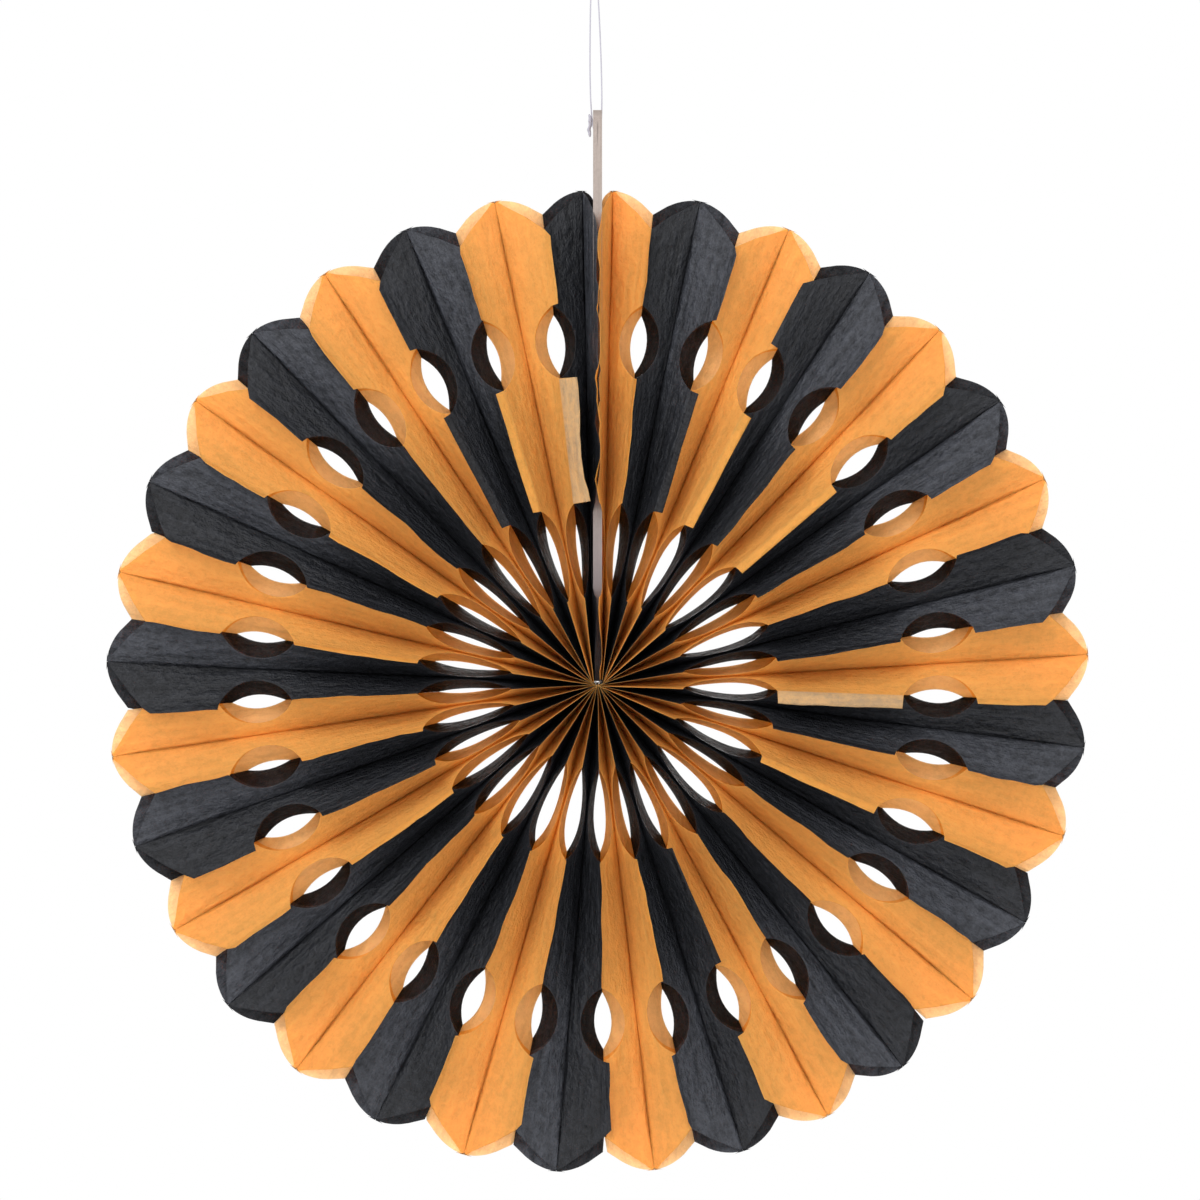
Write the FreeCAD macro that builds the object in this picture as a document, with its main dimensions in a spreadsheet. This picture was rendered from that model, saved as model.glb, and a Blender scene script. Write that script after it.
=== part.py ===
"""A hanging paper fan medallion: folded, die-cut tissue petals round two greyboard strips, on a string loop.

Millimetres and degrees, +Z up, front facing -Y. The origin is the top of the string loop, where the hook holds it.
"""

import FreeCAD, Part
import Sketcher
import math
import os

os.makedirs("parts", exist_ok=True)
doc = FreeCAD.newDocument("PaperFan")

# Driving dimensions: alias, value, meaning
SIZES = [
    ("petal_count", 34, "petals round the fan, orange and black in turn"),
    ("fan_radius", 203.2, "fan centre to a petal's tip"),
    ("hub_radius", 2.5, "fan centre to the petals' inner ends"),
    ("end_lean", 1.25, "angle from a board to the valley of the petal beside it"),
    ("end_opening", 0.919, "how far that petal's free side opens, as a share of a plain petal's half"),
    ("end_hub_radius", 9.0, "fan centre to the inner ends of the petals beside the boards"),
    ("tissue", 0.15, "thickness of a tissue sheet, thickened so that it can be a solid"),
    ("glue_line", 1.2, "width of the glue line down the middle of a petal"),
    ("tip_length", 19.0, "length of a petal's tip, from its shoulder outwards"),
    ("tip_round", 13.5, "radius of the rounded tip"),
    ("shoulder_depth", 7.0, "how far the front and back glue lines stand off the fan's middle plane at the shoulder"),
    ("front_edge", 3.6, "free edge of a sheet beyond its front glue line"),
    ("back_edge", 11.7, "free edge of a sheet beyond its back glue line"),
    ("outer_notch_centre", 141.5, "fan centre to the middle of the outer notch"),
    ("outer_notch_radius", 15.5, "radius of the outer half-round notch"),
    ("inner_notch_centre", 55.5, "fan centre to the middle of the inner notch"),
    ("inner_notch_radius", 19.5, "radius of the inner half-round notch"),
    ("board_thickness", 1.85, "thickness of one greyboard strip"),
    ("board_width", 22.0, "greyboard strip across, from front to back"),
    ("board_bottom", 0.5, "fan centre to the strips' lower ends"),
    ("tab_rise", 32.8, "how far the strips stand out past the petals' tips as a tab"),
    ("tab_corner", 3.0, "how far the tab's top corners are cut back"),
    ("hole_inset", 11.8, "top of the tab to the middle of the string hole"),
    ("hole_diameter", 5.0, "string hole through both strips"),
    ("string_diameter", 0.6, "thickness of the string"),
    ("string_room", 0.06, "clearance between the string and the top of its hole"),
    ("string_rise", 59.5, "top of the tab to the top of the string loop"),
    ("loop_width", 3.0, "distance between the strands where they go over the hook"),
    ("hook_shift", 1.5, "how far the hook is left of the fan centre"),
    ("left_slack", 1.45, "how far the left strand stands off its strip at the hole"),
    ("right_slack", 0.75, "how far the right strand stands off its strip at the hole"),
    ("strand_gap", 0.4, "distance between the ends of the string inside the hole"),
]
# What follows from them
RESULTS = [
    ("pitch", "=(360 - 2 * end_lean) / (petal_count - 2 + end_opening)", "angle from one glued ridge to the next"),
    ("end_span", "=end_lean + end_opening * pitch / 2", "angle from a board to the first glued ridge"),
    ("ridge_shift", "=board_thickness / petal_count / cos(pitch / 2 * 1deg)", "one petal's share of the strips' thickness"),
    ("shoulder_radius", "=fan_radius - tip_length", "fan centre to the corner where a petal's tip starts"),
    ("shoulder_opening", "=tan(pitch / 2 * 1deg) * shoulder_radius - ridge_shift", "valley to ridge at the shoulder"),
    ("seam_depth", "=hypot(shoulder_opening; shoulder_depth)", "sheet width from the middle glue line to the next one"),
    ("front_width", "=seam_depth + front_edge", "sheet width from the middle glue line to the front cut edge"),
    ("back_width", "=seam_depth + back_edge", "sheet width from the middle glue line to the back cut edge"),
    ("tab_height", "=fan_radius + tab_rise", "fan centre to the top of the tab"),
    ("hole_height", "=tab_height - hole_inset", "fan centre to the middle of the string hole"),
    ("string_height", "=tab_height + string_rise", "fan centre to the top of the string loop"),
]

sheet = doc.addObject("Spreadsheet::Sheet", "Sizes")
for row, (alias, value, meaning) in enumerate(SIZES + RESULTS, start=1):
    sheet.set(f"A{row}", alias)
    sheet.setAlias(f"B{row}", alias)
    sheet.set(f"B{row}", str(value))
    sheet.set(f"C{row}", meaning)
doc.recompute()

# How finely the round stretches of the folded tissue are laid out in flat facets
NOTCH_CHORDS = 4
TIP_CHORDS = 2
# How much of the outer notch's radius may lie in the free edges beside the boards
NOTCH_REACH = 0.9
# The string is a plain tube: its sides, and how far its arcs reach into a run
STRING_SIDES = 4
ARC_SHARE = 0.45
# Points nearer to each other than this are one point
SAME_POINT = 1e-6


def size(alias):
    return float(sheet.get(alias))


def on_line(start, end, share):
    return tuple(a + (b - a) * share for a, b in zip(start, end))


# The cut edge of a sheet, laid flat: (distance from the fan centre, distance from the middle glue line)
def notch_corners(name, width, seam):
    """Corners of a half-round notch in an edge at width: inner edge corner, those at or inside the seam, outer one."""
    centre, radius = size(f"{name}_notch_centre"), size(f"{name}_notch_radius")
    turn = math.acos((width - seam) / radius)
    corners = []
    for i in range(NOTCH_CHORDS + 1):
        angle = -turn + 2 * turn * i / NOTCH_CHORDS
        corners.append((centre + radius * math.sin(angle), width - radius * math.cos(angle)))
    return (centre - radius, width), corners, (centre + radius, width)


def tip_corners(width, seam, side):
    """Corners from the shoulder along the flank and the rounded tip to the middle line, cut in two at the seam."""
    tip, shoulder, rounding = size("fan_radius"), size("shoulder_radius"), size("tip_round")
    # The die's centre line lies behind the middle glue line, so front and back edges differ
    shift = side * (size("back_edge") - size("front_edge")) / 2
    centre, half = tip - rounding, width + shift
    reach = math.hypot(half, shoulder - centre)
    flank = math.atan2(shoulder - centre, half) + math.acos(rounding / reach)
    end = math.acos(shift / rounding)
    corners = [(shoulder, width)]
    for i in range(TIP_CHORDS + 1):
        angle = flank + (end - flank) * i / TIP_CHORDS
        corners.append((centre + rounding * math.sin(angle), rounding * math.cos(angle) - shift))
    corners[-1] = (corners[-1][0], 0)
    free = [corner for corner in corners if corner[1] > seam]
    glued = corners[len(free) :]
    share = (free[-1][1] - seam) / (free[-1][1] - glued[0][1])
    return free, [on_line(free[-1], glued[0], share)] + glued


class Wing:
    """A quarter of a petal: the half sheet from the middle glue line to a front or back edge, on one side."""

    def __init__(self, across, side, hub, seam, first, rise, lean):
        self.across, self.side = across, side
        self.hub, self.seam, self.first, self.rise, self.lean = hub, seam, first, rise, lean
        self.width = size("front_width") if side > 0 else size("back_width")
        self.free_tip, self.tip = tip_corners(self.width, seam, side)

    def fold(self, radius, spread, face):
        """Where a point of the flat sheet lies in the opened petal, on its outer (1) or inner (0) face."""
        tissue, unfolded = size("tissue"), radius < size("inner_notch_centre")
        lateral = self.first + self.rise * min(radius, self.tip[0][0])
        seam = self.width if unfolded else self.seam
        depth = math.sqrt(seam**2 - lateral**2)
        if face:
            root, ridge = (tissue, 0), (lateral, depth)
        else:
            miter = tissue * math.tan(math.asin(lateral / seam) / 2)
            root, ridge = (0, size("glue_line") / 2), (lateral - tissue, depth + miter)
        x, y = on_line(root, ridge, min(spread / seam, 1))
        if spread > seam:
            share = (spread - seam) / (self.width - seam)
            x, y = x - self.lean * share, y + spread - seam
        return FreeCAD.Vector(self.across * x, -self.side * y, radius)

    def row(self, corners, face):
        return [self.fold(radius, spread, face) for radius, spread in corners]

    def facets(self, stations):
        inner_low, inner, inner_high = notch_corners("inner", self.width, self.seam)
        outer_low, outer, outer_high = notch_corners("outer", self.width, self.seam)
        free_tip, tip, hub = self.free_tip, self.tip, (self.hub, self.width)
        valley = [(radius, 0) for radius in stations]
        panel = [hub, inner_low] + inner[1:] + outer + tip
        free_edges = [
            ([inner[-1], outer[0]], [inner_high, outer_low]),
            ([outer[-1], tip[0]], [outer_high] + free_tip),
        ]
        rim = [hub, inner_low] + inner[1:] + [inner_high, outer_low] + outer + [outer_high] + free_tip + tip
        faces = []
        for face in (0, 1):
            faces += strip(self.row(valley, face), self.row(panel, face))
            for seam_row, edge_row in free_edges:
                faces += strip(self.row(seam_row, face), self.row(edge_row, face))
        return faces + strip(self.row(rim, 0), self.row(rim, 1))


def strip(near, far):
    """Flat three-cornered facets between two rows of corners, always across the shorter way."""
    facets, i, j = [], 0, 0
    while i < len(near) - 1 or j < len(far) - 1:
        along_near = i < len(near) - 1
        if along_near and j < len(far) - 1:
            along_near = near[i + 1].distanceToPoint(far[j]) < near[i].distanceToPoint(far[j + 1])
        corner = near[i + 1] if along_near else far[j + 1]
        if corner not in (near[i], far[j]):
            facets.append((near[i], far[j], corner))
        i, j = (i + 1, j) if along_near else (i, j + 1)
    return facets


def end_face(wings, radius, widths):
    """The flat end of a petal: out and back along each of its four wings in turn."""
    ring = []
    for wing, width in zip(wings, widths):
        arm = wing.row([(radius, 0), (radius, width)], 0) + wing.row([(radius, width), (radius, 0)], 1)
        ring += arm if wing.across == wing.side else arm[::-1]
    corners = [point for i, point in enumerate(ring) if point.distanceToPoint(ring[i - 1]) > SAME_POINT]
    return Part.Face(Part.makePolygon([*corners, corners[0]]))


def petal_shape(hub, left, right):
    """One petal standing upright on the fan centre. left and right are (seam, first, rise, lean) of its wings."""
    stations = [
        hub,
        size("inner_notch_centre"),
        size("outer_notch_centre") - size("outer_notch_radius"),
        size("outer_notch_centre") + size("outer_notch_radius"),
        tip_corners(size("front_width"), size("seam_depth"), 1)[1][-1][0],
    ]
    wings = [
        Wing(1, 1, hub, *right),
        Wing(1, -1, hub, *right),
        Wing(-1, -1, hub, *left),
        Wing(-1, 1, hub, *left),
    ]
    faces = []
    for wing in wings:
        for facet in wing.facets(stations):
            faces.append(Part.Face(Part.makePolygon([*facet, facet[0]])))
    # The inner end and the small end of the glue line at the tip close the solid
    faces.append(end_face(wings, hub, [wing.width for wing in wings]))
    faces.append(end_face(wings, stations[-1], [0 for wing in wings]))
    shell = Part.makeShell(faces)
    shell.sewShape()
    solid = Part.makeSolid(shell)
    if solid.Volume < 0:
        solid.reverse()
    return solid


parts = []


def hang(node, turn, shift):
    """Turns a sub-part clockwise about the fan centre and shifts it sideways. The fan hangs below the hook."""
    across = f"Sizes.hook_shift + ({shift}) * cos(({turn}) * 1deg)"
    up = f"-Sizes.string_height - ({shift}) * sin(({turn}) * 1deg)"
    turned = f"rotation(vector(0; 1; 0); {turn})"
    node.setExpression("Placement", f"placement(vector({across}; 0; {up}); {turned})")
    parts.append(node)


# The petals
PETALS = int(size("petal_count"))
half_pitch = math.radians(size("pitch") / 2)
plain = (size("seam_depth"), -size("ridge_shift"), math.tan(half_pitch), 0)
petal = petal_shape(size("hub_radius"), plain, plain)

# The petals beside the boards have one plain side. Their other side is pressed against the board, and its free
# front and back edges lean in and meet past the board's edges. They lean from a line that the outer notch reaches
thickness, lean, span = size("board_thickness"), math.radians(size("end_lean")), math.radians(size("end_span"))
first_gap = size("tissue") - math.tan(lean) * size("end_hub_radius")
valley_shift = thickness / math.cos(lean) + first_gap
ridge_shift = size("ridge_shift") * (PETALS - 2) * math.cos(half_pitch)
tip_gap = first_gap + math.tan(lean) * size("fan_radius")
fold_line = max(size("board_width") / 2, size("back_width") - NOTCH_REACH * size("outer_notch_radius"))
pressed = (
    math.hypot(fold_line, tip_gap),
    first_gap,
    math.tan(lean),
    thickness - size("tissue") / 2,
)
opened = (
    size("seam_depth"),
    ridge_shift / math.cos(span - lean) - valley_shift,
    math.tan(span - lean),
    0,
)
END_SHIFT = (
    "(Sizes.board_thickness / cos(Sizes.end_lean * 1deg) + Sizes.tissue"
    " - tan(Sizes.end_lean * 1deg) * Sizes.end_hub_radius)"
)

for number in range(1, PETALS + 1):
    colour = "orange" if number % 2 else "black"
    node = doc.addObject("Part::Feature", f"petal_{number:02d}_{colour}")
    if number == 1:
        node.Shape = petal_shape(size("end_hub_radius"), pressed, opened)
        hang(node, "Sizes.end_lean", END_SHIFT)
    elif number == PETALS:
        node.Shape = petal_shape(size("end_hub_radius"), opened, pressed)
        hang(node, "-Sizes.end_lean", f"-{END_SHIFT}")
    else:
        node.Shape = petal.copy()
        turn = f"Sizes.end_span + {number - 1.5} * Sizes.pitch"
        hang(node, turn, f"Sizes.ridge_shift * (Sizes.petal_count + 1 - {2 * number})")


# The greyboard strips, each a flat strip with its side towards the front and a hole near the top
def board(label, shift):
    body = doc.addObject("PartDesign::Body", label)
    plane = next(f for f in body.Origin.OriginFeatures if f.Role == "YZ_Plane")

    outline = body.newObject("Sketcher::SketchObject", f"{label}_outline")
    outline.AttachmentSupport = [(plane, "")]
    outline.MapMode = "FlatFace"
    half, low, high = size("board_width") / 2, size("board_bottom"), size("tab_height")
    corners = [(-half, low), (half, low), (half, high), (-half, high)]
    for start, end in zip(corners, corners[1:] + corners[:1]):
        outline.addGeometry(Part.LineSegment(FreeCAD.Vector(*start, 0), FreeCAD.Vector(*end, 0)))
    for i in range(4):
        outline.addConstraint(Sketcher.Constraint("Coincident", i, 2, (i + 1) % 4, 1))
    for kind, side in (("Vertical", 1), ("Horizontal", 2), ("Vertical", 3)):
        outline.addConstraint(Sketcher.Constraint(kind, side))
    outline.addConstraint(Sketcher.Constraint("Symmetric", 0, 1, 0, 2, -2))
    for kind, ends, value, alias in (
        ("DistanceX", (0, 1, 0, 2), 2 * half, "board_width"),
        ("DistanceY", (-1, 1, 0, 1), low, "board_bottom"),
        ("DistanceY", (-1, 1, 2, 1), high, "tab_height"),
    ):
        index = outline.addConstraint(Sketcher.Constraint(kind, *ends, value))
        outline.setExpression(f"Constraints[{index}]", f"Sizes.{alias}")
    strip_pad = body.newObject("PartDesign::Pad", f"{label}_strip")
    strip_pad.Profile = outline
    strip_pad.setExpression("Length", "Sizes.board_thickness")
    doc.recompute()

    top_corners = []
    for i, edge in enumerate(strip_pad.Shape.Edges, start=1):
        across_strip = abs(edge.Length - thickness) < SAME_POINT
        if across_strip and abs(edge.CenterOfMass.z - high) < SAME_POINT:
            top_corners.append(f"Edge{i}")
    cut_corners = body.newObject("PartDesign::Chamfer", f"{label}_corners")
    cut_corners.Base = (strip_pad, top_corners)
    cut_corners.setExpression("Size", "Sizes.tab_corner")

    round_hole = body.newObject("Sketcher::SketchObject", f"{label}_hole_circle")
    round_hole.AttachmentSupport = [(plane, "")]
    round_hole.MapMode = "FlatFace"
    middle = FreeCAD.Vector(0, size("hole_height"), 0)
    round_hole.addGeometry(Part.Circle(middle, FreeCAD.Vector(0, 0, 1), size("hole_diameter") / 2))
    round_hole.addConstraint(Sketcher.Constraint("PointOnObject", 0, 3, -2))
    index = round_hole.addConstraint(Sketcher.Constraint("DistanceY", -1, 1, 0, 3, middle.y))
    round_hole.setExpression(f"Constraints[{index}]", "Sizes.hole_height")
    index = round_hole.addConstraint(Sketcher.Constraint("Diameter", 0, size("hole_diameter")))
    round_hole.setExpression(f"Constraints[{index}]", "Sizes.hole_diameter")
    hole = body.newObject("PartDesign::Pocket", f"{label}_hole")
    hole.Profile = round_hole
    hole.Type = "ThroughAll"
    hole.Reversed = True
    doc.recompute()

    hang(body, "0", shift)


board("board_right", "0")
board("board_left", "-Sizes.board_thickness")


# The string: up from the hole on the left, over the hook and down to the hole on the right
def rounded_path(points):
    """Straight runs joined by arcs that touch them. Each arc is as large as its shorter run allows."""
    edges, last = [], points[0]
    for before, corner, after in zip(points, points[1:], points[2:]):
        back, on = before - corner, after - corner
        turn = math.pi - back.getAngle(on)
        cut = ARC_SHARE * min(back.Length, on.Length)
        radius = cut / math.tan(turn / 2)
        print(f"string bend radius {radius:.2f} mm")
        start, end = corner + back.normalize() * cut, corner + on.normalize() * cut
        bisector = (back + on).normalize()
        middle = corner + bisector * (cut / math.sin(turn / 2) - radius)
        edges += [Part.LineSegment(last, start).toShape(), Part.Arc(start, middle, end).toShape()]
        last = end
    return Part.Wire(edges + [Part.LineSegment(last, points[-1]).toShape()])


hole_top = size("hole_height") + size("hole_diameter") / 2
strand = hole_top - size("string_diameter") / 2 - size("string_room")
over_hook = size("string_height") + size("string_diameter") / 2
loop_left, loop_right = (-size("hook_shift") + end * size("loop_width") / 2 for end in (-1, 1))
# The route of the string in the plane of the front view: (right of the fan centre, above it)
route = [
    (-size("strand_gap") / 2, strand),
    (-thickness - size("left_slack"), strand),
    (loop_left, over_hook),
    (loop_right, over_hook),
    (thickness + size("right_slack"), strand),
    (size("strand_gap") / 2, strand),
]
path = doc.addObject("Part::Feature", "string_path")
path.Shape = rounded_path([FreeCAD.Vector(x, 0, z) for x, z in route])
section = doc.addObject("Part::RegularPolygon", "string_section")
section.Polygon = STRING_SIDES
section.setExpression("Circumradius", "Sizes.string_diameter / 2")
section.Placement = FreeCAD.Placement(
    FreeCAD.Vector(route[0][0], 0, strand), FreeCAD.Rotation(FreeCAD.Vector(0, 1, 0), 90)
)
string = doc.addObject("Part::Sweep", "hanging_string")
string.Sections = [section]
string.Spine = (path, [f"Edge{i + 1}" for i in range(len(path.Shape.Edges))])
string.Solid = True
hang(string, "0", "0")

doc.recompute()
for thing in doc.Objects:
    if "Invalid" in thing.State or "Error" in thing.State:
        raise RuntimeError(f"{thing.Label} could not be built: {thing.State}")
for node in parts:
    if node.Shape.isNull() or not node.Shape.isValid() or node.Shape.Volume <= 0:
        raise RuntimeError(f"{node.Label} is not a valid solid")
straight = Part.Face(section.Shape.Wires[0]).Area * path.Shape.Length
print(f"string volume {string.Shape.Volume:.2f}, section times length {straight:.2f}")
for node in parts:
    node.Shape.exportStep(f"parts/{node.Label}.step")
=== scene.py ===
"""A hanging paper fan medallion: folded and die-cut tissue petals, two greyboard strips and a string loop."""

import math

import bpy
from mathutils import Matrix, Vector


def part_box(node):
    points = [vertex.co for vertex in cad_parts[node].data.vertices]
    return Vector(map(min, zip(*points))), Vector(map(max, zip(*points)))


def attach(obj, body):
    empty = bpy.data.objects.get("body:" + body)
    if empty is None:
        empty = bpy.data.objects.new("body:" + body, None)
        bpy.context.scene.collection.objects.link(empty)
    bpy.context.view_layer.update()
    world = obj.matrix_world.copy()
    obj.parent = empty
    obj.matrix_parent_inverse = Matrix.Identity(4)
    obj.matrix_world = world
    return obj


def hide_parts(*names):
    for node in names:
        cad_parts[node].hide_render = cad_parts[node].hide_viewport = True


bl_info = {
    "name": "Paper fan medallion",
    "version": (1, 0, 0),
    "blender": (4, 5, 0),
    "location": "3D View > Sidebar > Paper fan",
    "description": "Dresses the frame of a hanging paper fan with folded tissue, board and string",
    "category": "Add Mesh",
}

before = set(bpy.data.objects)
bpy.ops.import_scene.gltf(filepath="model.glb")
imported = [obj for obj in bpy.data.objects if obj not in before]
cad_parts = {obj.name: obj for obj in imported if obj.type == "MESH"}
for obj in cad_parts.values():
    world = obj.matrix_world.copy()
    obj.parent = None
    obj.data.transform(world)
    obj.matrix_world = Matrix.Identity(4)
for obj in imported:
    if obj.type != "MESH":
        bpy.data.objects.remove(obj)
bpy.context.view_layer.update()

PETALS = 34
# Degrees from the top to the first glued ridge, and to the valley of the petal on each board
FIRST_RIDGE, END_LEAN = 6.24, 1.25
# The boundary line of each glued ridge, seen from the front, leaves the middle between its two valleys by these
# degrees, clockwise positive: (between the notches, outside the outer notch), ridge 1 to ridge 33
RIDGE_OFFSETS = (
    (0.5, 0.0), (2.0, 0.5), (2.6, -1.3), (1.4, 0.5), (2.0, 0.7), (1.0, 0.6), (0.0, -0.5), (0.9, 0.75),
    (2.9, 0.8), (0.9, 0.25), (1.6, 0.5), (0.0, -0.2), (-0.4, -0.2), (-0.35, 0.6), (-1.5, 0.9), (-0.65, 0.45),
    (-0.2, -0.85), (0.0, -0.6), (0.0, 0.5), (-0.5, 0.0), (-0.25, 0.35), (-1.0, -0.4), (-1.2, -1.1),
    (-0.5, 0.2), (0.2, -0.8), (-0.7, -0.2), (0.0, -0.4), (-0.8, -0.4), (-0.5, -0.75), (0.0, -0.4),
    (-2.3, -0.8), (-2.1, -0.1), (3.5, 0.75),
)
# How wide the two holes of each ridge look from the front, in millimetres: (outer, inner), ridge 1 to ridge 33
HOLE_WIDTHS = (
    (6.9, 1.8), (3.9, 1.5), (6.0, 4.8), (3.1, 1.9), (6.5, 4.9), (3.6, 1.8), (6.5, 5.3), (3.5, 1.9), (5.5, 4.6),
    (3.8, 2.0), (6.0, 3.8), (4.6, 1.5), (6.2, 4.4), (3.7, 2.0), (6.4, 3.3), (4.4, 2.0), (6.6, 4.6), (3.8, 5.5),
    (7.5, 5.1), (4.0, 3.9), (7.3, 2.6), (4.1, 2.5), (6.4, 2.8), (3.1, 3.0), (5.5, 1.7), (4.3, 2.6), (5.1, 2.2),
    (3.5, 1.8), (5.6, 1.9), (3.7, 2.0), (7.4, 1.0), (4.2, 2.5), (7.6, 1.6),
)
# Ridges whose front free edge is wider between the notches and stained by glue: the width added, in metres
GLUE_STAINED = {9: 0.002, 33: 0.0052}
# How far each valley stands from its even place round the fan, in degrees, clockwise positive
VALLEY_SWAY = (
    0.0, -0.1, -0.1, -0.15, -0.4, -0.35, -0.7, -0.8, -1.15, -1.0, -1.3, -1.05, -1.0, -0.55, -0.85, -1.0, -1.2,
    -0.6, -0.4, -0.1, 0.0, 0.1, 0.0, 0.05, 0.0, 0.3, 0.05, 0.4, 0.4, -0.1, 0.0, 0.0, 0.0, 0.0,
)
# Where the offsets of the ridges are measured: the middles of both stretches, from the fan centre in metres
OFFSET_PLACES = (0.1015, 0.172)
# How much of its free edge's width a ridge can lean sideways at most
MOST_LEAN = 0.97

# The flat sheet, in metres: how far its outer notch moves out where it closes over a board, how far its rows of
# points lie apart at most and at least, and the places of its points between the middle glue line and the seam
BOARD_NOTCH_SHIFT = 0.0095
ROW_SPACING, LEAST_SPACING = 0.0045, 0.0004
PANEL_SHARES = (0.0, 0.1, 0.28, 0.46, 0.64, 0.82, 0.94, 1.0)
NOTCH_STEPS, TIP_STEPS, BACK_FREE_STEPS, FRONT_FREE_STEPS = (22, 20), 9, 4, 3
# The sheet's texture coordinates: its own measures by this factor, and whole steps to tell the sheets apart
UV_SCALE = 10

# How far the ridges and the valleys wander sideways: (waves per metre, share of the distance from the fan centre)
RIDGE_WANDER, VALLEY_WANDER = (14.0, 0.004), (12.0, 0.003)
# How the lean of the free edges ripples: (waves per metre, radians)
EDGE_RIPPLE = (45.0, 0.5)
# Wrinkles of a panel: (waves per metre along it, waves per metre across it)
STREAKS, CRINKLES, CRINKLE_SHARE = (9.0, 130.0), (55.0, 160.0), 0.45
# The widest that a panel spreads sideways, as a share of its flat width
FLATTEST = 0.985
# The back free edges lean by up to these degrees, by turns with this step; near the hub all lean by a share
BACK_LEAN, BACK_LEAN_STEP, HUB_LEAN, BOARD_HUB_LEAN = 28, 2.4, 0.12, 0.55

# What the fold rule is told about each half of a petal
HALF_INPUTS = (
    "ridge angle", "ridge shift", "ridge stretch", "seam", "middle lean", "outer lean", "back lean", "hub lean",
    "depth angle", "depth shift", "ridge number",
)

# How each tint's tissue looks: its mean roughness, the height of its crumples in metres, the contrast of its
# streaks, its specular level, the share of its light that passes through, how much painted sheen brightens its
# right halves, and how strongly painted shade deepens its crease
TISSUE_LOOKS = {
    "orange": {
        "roughness": 0.62, "crumple": 0.0008, "contrast": 0.13, "shine": 0.3, "through": 0.5, "sheen": 0.03,
        "crease": 0.65,
    },
    "black": {
        "roughness": 0.42, "crumple": 0.0015, "contrast": 0.75, "shine": 0.27, "through": 0.0, "sheen": 1.6,
        "crease": 0.0,
    },
}

# Fan centre to the strips' lower ends
BOARD_BOTTOM = 0.0005
# Heights on the strips: the string hole, the torn top (low, high), and where the petals shade them (from, to)
HOLE_HEIGHT, TORN_TOP, SHADED = -0.0695, (-0.0625, -0.0605), (-0.2, -0.262)


def length(name, default, description):
    return bpy.props.FloatProperty(
        name=name, default=default, description=description, min=0, subtype="DISTANCE", unit="LENGTH"
    )


def colour(name, default, description):
    return bpy.props.FloatVectorProperty(
        name=name, default=default, description=description, size=3, min=0, max=1, subtype="COLOR"
    )


class FanSizes(bpy.types.PropertyGroup):
    """Sizes of the fan's tissue, as it is die-cut and glued"""

    fan_radius: length("Fan radius", 0.2034, "Fan centre to a petal's tip")
    hub_radius: length("Hub radius", 0.0005, "Fan centre to the petals' inner ends")
    end_hub_radius: length("End hub radius", 0.0012, "Fan centre to the inner ends of the petals beside the boards")
    seam_depth: length("Seam depth", 0.0188, "Middle glue line to the front or back one")
    front_width: length("Front width", 0.0224, "Middle glue line to the front cut edge")
    back_width: length("Back width", 0.0305, "Middle glue line to the back cut edge")
    outer_notch_centre: length("Outer notch centre", 0.1405, "Fan centre to the middle of the outer notch")
    outer_notch_radius: length("Outer notch radius", 0.0155, "Radius of the outer half-round notch")
    inner_notch_centre: length("Inner notch centre", 0.0545, "Fan centre to the middle of the inner notch")
    inner_notch_radius: length("Inner notch radius", 0.0195, "Radius of the inner half-round notch")
    shoulder_radius: length("Shoulder radius", 0.1842, "Fan centre to the corner where a petal's tip starts")
    tip_round: length("Tip rounding", 0.0135, "Radius of the rounded tip's front half")
    back_tip_round: length("Back tip rounding", 0.019, "Radius of the rounded tip's back half")
    back_shoulder_radius: length("Back shoulder radius", 0.1856, "The same corner on the back half")
    sheet_thickness: length("Sheet thickness", 0.00006, "Thickness of one tissue sheet")
    board_thickness: length("Board thickness", 0.00185, "Thickness of one greyboard strip")
    board_width: length("Board width", 0.022, "Greyboard strip from front to back")
    wrinkle_depth: length("Wrinkle depth", 0.00035, "How far the wrinkles stand out of a panel")


class FanColours(bpy.types.PropertyGroup):
    """Colours of the fan's tissue, board and string"""

    orange: colour("Orange", (0.965, 0.545, 0.14), "Orange tissue with a second layer behind it")
    # Painted light: orange made paler where light shines through a single layer of tissue
    orange_backlit: colour("Thin orange", (0.96, 0.67, 0.34), "Orange tissue where it is a single layer")
    # Painted light: paler still where a single layer shows at the rim
    orange_rim_backlit: colour("Orange rim", (0.965, 0.72, 0.42), "Orange tissue where a single layer shows at the rim")
    black: colour("Black", (0.0165, 0.0175, 0.021), "Black tissue")
    # Painted shade: black made darker where a single layer is seen in the shade inside the folds
    black_single_shaded: colour("Thin black", (0.007, 0.007, 0.008), "Black tissue where it is a single layer")
    glue: colour("Glue stain", (0.48, 0.36, 0.27), "Tissue that glue has soaked")
    # Painted shade: a deeper orange on the glued front free edges and along the crease
    orange_shaded: colour("Glued orange", (1.0, 0.54, 0.12), "Orange tissue along its glued edges and its crease")
    # Painted shade: a darker black on the glued front free edges
    black_shaded: colour("Glued black", (0.008, 0.008, 0.01), "Black tissue along its glued edges")
    board: colour("Board", (0.40, 0.335, 0.3), "Greyboard")
    string: colour("String", (0.6, 0.58, 0.66), "White thread")


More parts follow.
